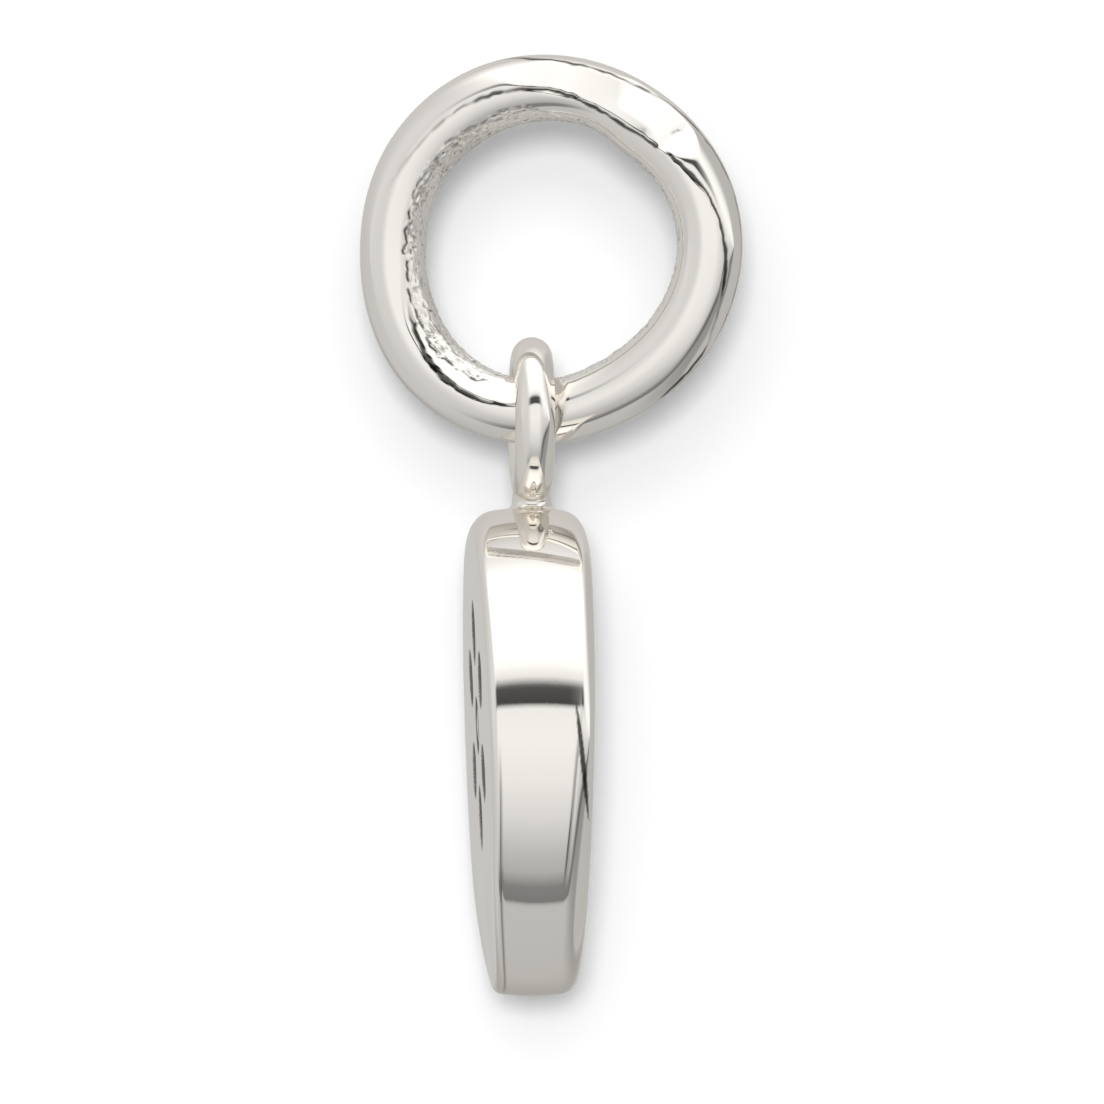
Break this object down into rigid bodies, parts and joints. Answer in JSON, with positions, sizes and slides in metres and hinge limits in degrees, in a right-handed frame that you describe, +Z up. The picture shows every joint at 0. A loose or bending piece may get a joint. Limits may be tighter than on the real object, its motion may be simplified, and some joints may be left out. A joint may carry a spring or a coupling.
{
  "type": "dangle charm",
  "caption": "Thick round silver disc with a small sunk rosette, hung by a soldered loop from a heavy closed jump ring on which it swings.",
  "frame": {"origin": "the top of the jump ring's hole, where it bears on whatever the charm hangs from", "axes": "+Z up as it hangs; the disc stands in the YZ plane with its ornamented face toward -X; -Y is the side from which the rim is seen"},
  "size_m": [0.0064, 0.0082, 0.016],
  "materials": {
    "ring_silver": "polished sterling silver wire, hand-filed marks left round the inside",
    "charm_silver": "polished sterling silver with fine scratches, darker in the sunk ornament"
  },
  "bodies": {
    "ring": {"jump_ring": "ring_silver"},
    "charm": {"disc_charm": "charm_silver"}
  },
  "joints": [
    {"name": "charm_swing", "type": "hinge", "parent": "ring", "child": "charm", "pos_m": [-0.00032, 0.0001, -0.00499], "axis": [0.9492, -0.2902, -0.1219], "range_deg": [-120, 120]}
  ]
}
